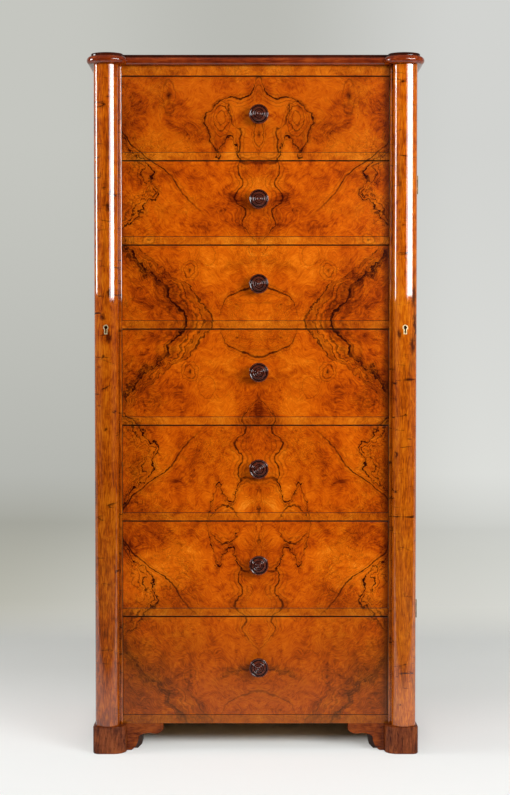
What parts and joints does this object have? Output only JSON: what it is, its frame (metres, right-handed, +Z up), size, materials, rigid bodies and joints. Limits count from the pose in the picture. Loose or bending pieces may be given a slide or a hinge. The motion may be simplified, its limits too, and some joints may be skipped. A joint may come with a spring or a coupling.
{
  "type": "semainier",
  "caption": "Tall narrow chest with graduated drawers between half-round pilasters, one a hinged locking stile, on a plinth with bracket feet.",
  "frame": {"origin": "middle of the bounding box's footprint, on the floor", "axes": "+Z up, the drawers open towards -Y, +X to the right of someone facing the drawers"},
  "size_m": [0.626, 0.4409, 1.3026],
  "materials": {
    "burr_walnut": "figured burr veneer, quarter-matched, French polished",
    "walnut_top": "straight-grained walnut, polished",
    "walnut_side": "walnut veneer, polished",
    "walnut_bracket": "walnut, polished",
    "dark_walnut_plinth": "dark stained walnut, polished",
    "rosewood": "turned rosewood, gloss",
    "oak_lining": "planed oak, waxed",
    "cedar_bottom": "planed cedar, unfinished",
    "pine_carcass": "planed pine, unfinished",
    "brass": "old brass, rubbed",
    "lock_steel": "oiled steel"
  },
  "bodies": {
    "carcass": {"back_boards": "pine_carcass", "bottom_board": "pine_carcass", "bottom_rail": "burr_walnut", "bracket_left": "walnut_bracket", "bracket_right": "walnut_bracket", "drawer_dividers": "burr_walnut", "drawer_guides": "pine_carcass", "drawer_runners": "pine_carcass", "drawer_stops": "pine_carcass", "escutcheon_left": "brass", "frieze_rail": "burr_walnut", "front_post_left": "pine_carcass", "front_post_right": "pine_carcass", "glue_blocks": "pine_carcass", "hinge_leaves_case": "brass", "hinge_pins": "brass", "pilaster_left": "burr_walnut", "plinth_block_left": "dark_walnut_plinth", "plinth_block_right": "dark_walnut_plinth", "rear_plinth": "pine_carcass", "side_left": "walnut_side", "side_plinth_left": "dark_walnut_plinth", "side_plinth_right": "dark_walnut_plinth", "side_right": "walnut_side", "staple_plate": "brass", "top_board": "walnut_top"},
    "drawer_1": {"drawer_1_bottom": "cedar_bottom", "drawer_1_front": "burr_walnut", "drawer_1_knob": "rosewood", "drawer_1_linings": "oak_lining"},
    "drawer_2": {"drawer_2_bottom": "cedar_bottom", "drawer_2_front": "burr_walnut", "drawer_2_knob": "rosewood", "drawer_2_linings": "oak_lining"},
    "drawer_3": {"drawer_3_bottom": "cedar_bottom", "drawer_3_front": "burr_walnut", "drawer_3_knob": "rosewood", "drawer_3_linings": "oak_lining"},
    "drawer_4": {"drawer_4_bottom": "cedar_bottom", "drawer_4_front": "burr_walnut", "drawer_4_knob": "rosewood", "drawer_4_linings": "oak_lining"},
    "drawer_5": {"drawer_5_bottom": "cedar_bottom", "drawer_5_front": "burr_walnut", "drawer_5_knob": "rosewood", "drawer_5_linings": "oak_lining"},
    "drawer_6": {"drawer_6_bottom": "cedar_bottom", "drawer_6_front": "burr_walnut", "drawer_6_knob": "rosewood", "drawer_6_linings": "oak_lining"},
    "drawer_7": {"drawer_7_bottom": "cedar_bottom", "drawer_7_front": "burr_walnut", "drawer_7_knob": "rosewood", "drawer_7_linings": "oak_lining"},
    "locking_stile": {"locking_stile": "burr_walnut", "escutcheon_right": "brass", "lock_case": "lock_steel", "hinge_leaves_stile": "brass"},
    "lock_bolt": {"lock_bolt": "lock_steel"}
  },
  "joints": [
    {"name": "drawer_1_slide", "type": "slide", "parent": "carcass", "child": "drawer_1", "axis": [0, -1, 0], "range_m": [0, 0.27]},
    {"name": "drawer_2_slide", "type": "slide", "parent": "carcass", "child": "drawer_2", "axis": [0, -1, 0], "range_m": [0, 0.27]},
    {"name": "drawer_3_slide", "type": "slide", "parent": "carcass", "child": "drawer_3", "axis": [0, -1, 0], "range_m": [0, 0.27]},
    {"name": "drawer_4_slide", "type": "slide", "parent": "carcass", "child": "drawer_4", "axis": [0, -1, 0], "range_m": [0, 0.27]},
    {"name": "drawer_5_slide", "type": "slide", "parent": "carcass", "child": "drawer_5", "axis": [0, -1, 0], "range_m": [0, 0.27]},
    {"name": "drawer_6_slide", "type": "slide", "parent": "carcass", "child": "drawer_6", "axis": [0, -1, 0], "range_m": [0, 0.27]},
    {"name": "drawer_7_slide", "type": "slide", "parent": "carcass", "child": "drawer_7", "axis": [0, -1, 0], "range_m": [0, 0.27]},
    {"name": "stile_hinge", "type": "hinge", "parent": "carcass", "child": "locking_stile", "pos_m": [0.3004, -0.1797, 0.6668], "axis": [0, 0, 1], "range_deg": [0, 165]},
    {"name": "bolt_slide", "type": "slide", "parent": "locking_stile", "child": "lock_bolt", "axis": [-1, 0, 0], "range_m": [0, 0.008]}
  ]
}
